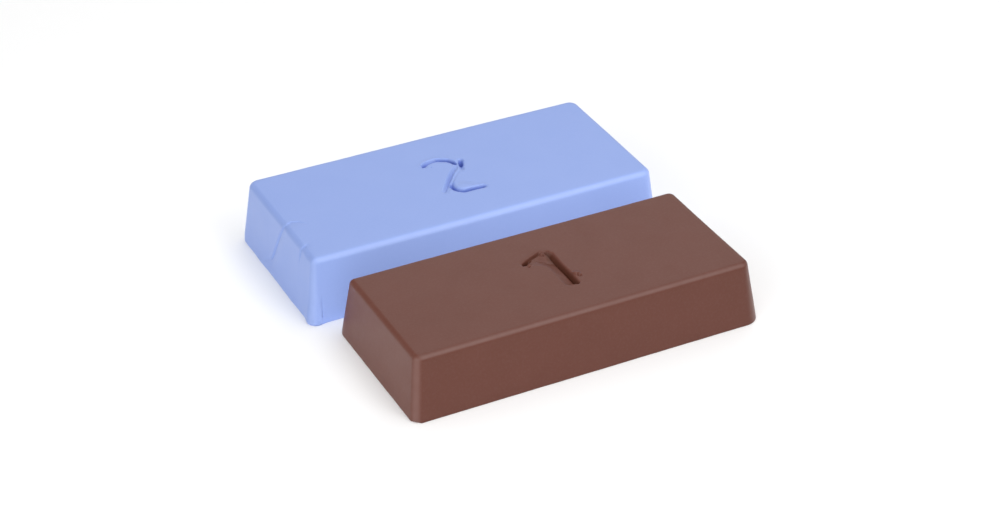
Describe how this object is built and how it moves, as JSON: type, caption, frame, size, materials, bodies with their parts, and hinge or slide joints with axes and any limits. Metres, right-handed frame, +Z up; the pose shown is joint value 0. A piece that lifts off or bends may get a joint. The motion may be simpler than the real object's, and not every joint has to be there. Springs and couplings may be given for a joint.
{
  "type": "pair of polishing compound bars",
  "caption": "Brown and blue cast polishing compound bars, tapered blocks with rounded upper edges and a sunken grade numeral in each top, for charging buffing wheels.",
  "frame": {"origin": "on the surface the bars stand on, under the middle of the pair's bounding box", "axes": "+X along the bars towards their right ends, +Y from the brown bar to the blue bar, +Z up"},
  "size_m": [0.1162, 0.1094, 0.0206],
  "materials": {
    "brown_compound": "satin",
    "blue_compound": "satin"
  },
  "bodies": {
    "brown_bar": {"brown_bar": "brown_compound"},
    "blue_bar": {"blue_bar": "blue_compound"}
  },
  "joints": [
    {"name": "blue_bar_lift", "type": "slide", "parent": "brown_bar", "child": "blue_bar", "axis": [0, 0, 1], "range_m": [0, 0.06]}
  ]
}
